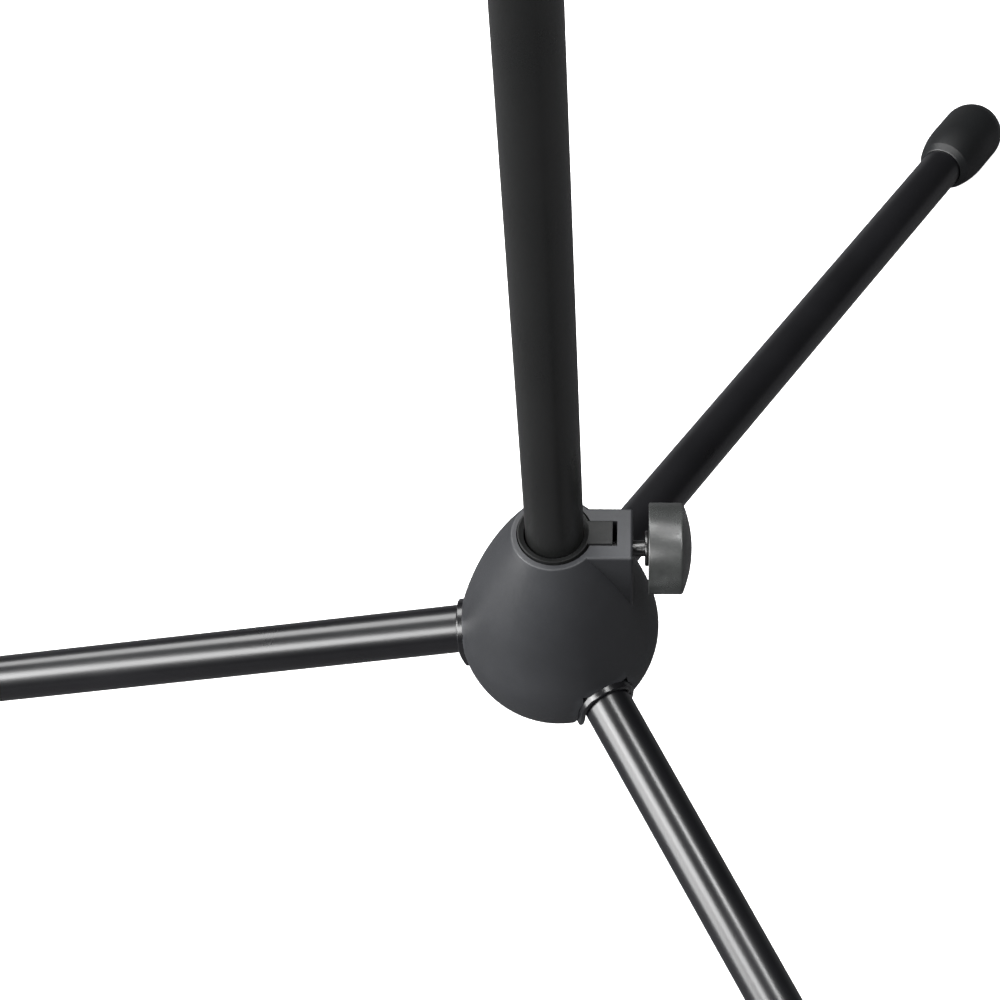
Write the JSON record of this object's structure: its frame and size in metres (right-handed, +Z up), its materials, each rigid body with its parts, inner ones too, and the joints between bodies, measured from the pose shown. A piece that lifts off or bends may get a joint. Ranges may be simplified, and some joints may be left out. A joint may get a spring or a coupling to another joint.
{
  "type": "music stand",
  "caption": "Music stand: tilting perforated desk with ledge on a telescoping tube column, egg-shaped clamp hub, folding tubular legs with rubber feet.",
  "frame": {"origin": "on the floor, under the middle of the footprint's bounding box; the column axis is at x = 0 and y = -95.0 mm", "axes": "+Z up along the column; -Y towards the player, the way the clamp knobs point; +Y along the back leg; X across the desk"},
  "size_m": [0.6874, 0.5992, 1.1742],
  "materials": {
    "hub_paint": "fine matte charcoal powder coat on die-cast metal",
    "guide_gloss": "glossy black moulded plastic",
    "leg_gloss": "glossy black paint on steel tube",
    "column_paint": "satin dark grey powder coat",
    "zinc_steel": "zinc-plated steel",
    "nylon": "matte black nylon",
    "rubber": "dull black moulded rubber",
    "clamp_plastic": "satin dark grey moulded plastic",
    "knob_plastic": "dark grey fine-textured soft-touch plastic",
    "desk_paint": "matte black fine-texture powder coat on sheet steel",
    "rivet_black": "black-coated rivets"
  },
  "bodies": {
    "base": {"hub_body": "hub_paint", "base_clamp_insert": "clamp_plastic", "leg_guide_back": "guide_gloss", "leg_pin_back": "zinc_steel", "leg_guide_left": "guide_gloss", "leg_pin_left": "zinc_steel", "leg_guide_right": "guide_gloss", "leg_pin_right": "zinc_steel"},
    "leg_back": {"leg_knuckle_back": "nylon", "leg_tube_back": "leg_gloss", "foot_cap_back": "rubber"},
    "leg_left": {"leg_knuckle_left": "nylon", "leg_tube_left": "leg_gloss", "foot_cap_left": "rubber"},
    "leg_right": {"leg_knuckle_right": "nylon", "leg_tube_right": "leg_gloss", "foot_cap_right": "rubber"},
    "base_tip": {"base_screw_tip": "nylon"},
    "base_knob": {"base_screw_stud": "zinc_steel", "base_screw_collar": "zinc_steel", "base_screw_knob": "knob_plastic"},
    "column": {"lower_tube": "column_paint", "lower_tube_plug": "nylon", "upper_clamp_body": "hub_paint", "upper_clamp_pin": "zinc_steel", "upper_clamp_insert": "clamp_plastic"},
    "upper_tip": {"upper_screw_tip": "nylon"},
    "upper_knob": {"upper_screw_stud": "zinc_steel", "upper_screw_collar": "zinc_steel", "upper_screw_knob": "knob_plastic"},
    "mast_guide": {"upper_tube_bush": "nylon"},
    "mast": {"upper_tube": "column_paint", "tilt_head": "column_paint", "tilt_head_pin": "zinc_steel", "tilt_bolt": "zinc_steel", "tilt_friction_discs": "nylon"},
    "tilt_washer": {"tilt_washer": "zinc_steel"},
    "tilt_knob": {"tilt_knob": "knob_plastic"},
    "desk": {"desk_bracket": "desk_paint", "desk_panel": "desk_paint", "desk_ledge": "desk_paint", "desk_bracket_rivets": "rivet_black", "desk_ledge_rivets": "rivet_black"}
  },
  "joints": [
    {"name": "leg_back_fold", "type": "hinge", "parent": "base", "child": "leg_back", "pos_m": [0, -0.0716, 0.09409], "axis": [-1, 0, 0], "range_deg": [0, 77.3]},
    {"name": "leg_left_fold", "type": "hinge", "parent": "base", "child": "leg_left", "pos_m": [-0.02026, -0.1067, 0.09409], "axis": [0.5, -0.866, 0], "range_deg": [0, 77.3]},
    {"name": "leg_right_fold", "type": "hinge", "parent": "base", "child": "leg_right", "pos_m": [0.02026, -0.1067, 0.09409], "axis": [0.5, 0.866, 0], "range_deg": [0, 77.3]},
    {"name": "base_tip_slide", "type": "slide", "parent": "base", "child": "base_tip", "axis": [0, -1, 0], "range_m": [0, 0.002]},
    {"name": "base_knob_turn", "type": "hinge", "parent": "base_tip", "child": "base_knob", "pos_m": [0, -0.1243, 0.15006], "axis": [0, -1, 0], "range_deg": [0, 720]},
    {"name": "column_lift", "type": "slide", "parent": "base", "child": "column", "axis": [0, 0, 1], "range_m": [0, 0.04]},
    {"name": "upper_tip_slide", "type": "slide", "parent": "column", "child": "upper_tip", "axis": [0, -1, 0], "range_m": [0, 0.002]},
    {"name": "upper_knob_turn", "type": "hinge", "parent": "upper_tip", "child": "upper_knob", "pos_m": [0, -0.1213, 0.67906], "axis": [0, -1, 0], "range_deg": [0, 720]},
    {"name": "mast_height", "type": "slide", "parent": "column", "child": "mast_guide", "axis": [0, 0, 1], "range_m": [0, 0.25]},
    {"name": "mast_swivel", "type": "hinge", "parent": "mast_guide", "child": "mast", "pos_m": [0, -0.095, 0.34936], "axis": [0, 0, 1], "continuous": true},
    {"name": "tilt_washer_slide", "type": "slide", "parent": "mast", "child": "tilt_washer", "axis": [-1, 0, 0], "range_m": [0, 0.001]},
    {"name": "tilt_knob_turn", "type": "hinge", "parent": "tilt_washer", "child": "tilt_knob", "pos_m": [-0.02, -0.095, 0.94936], "axis": [-1, 0, 0], "range_deg": [0, 360]},
    {"name": "desk_tilt", "type": "hinge", "parent": "mast", "child": "desk", "pos_m": [0, -0.095, 0.94936], "axis": [-1, 0, 0], "range_deg": [-20, 60]}
  ],
  "couplings": [
    {"joint": "base_tip_slide", "follows": "base_knob_turn", "m_per_rad": 0.00015915},
    {"joint": "upper_tip_slide", "follows": "upper_knob_turn", "m_per_rad": 0.00015915},
    {"joint": "tilt_washer_slide", "follows": "tilt_knob_turn", "m_per_rad": 0.00015915}
  ]
}
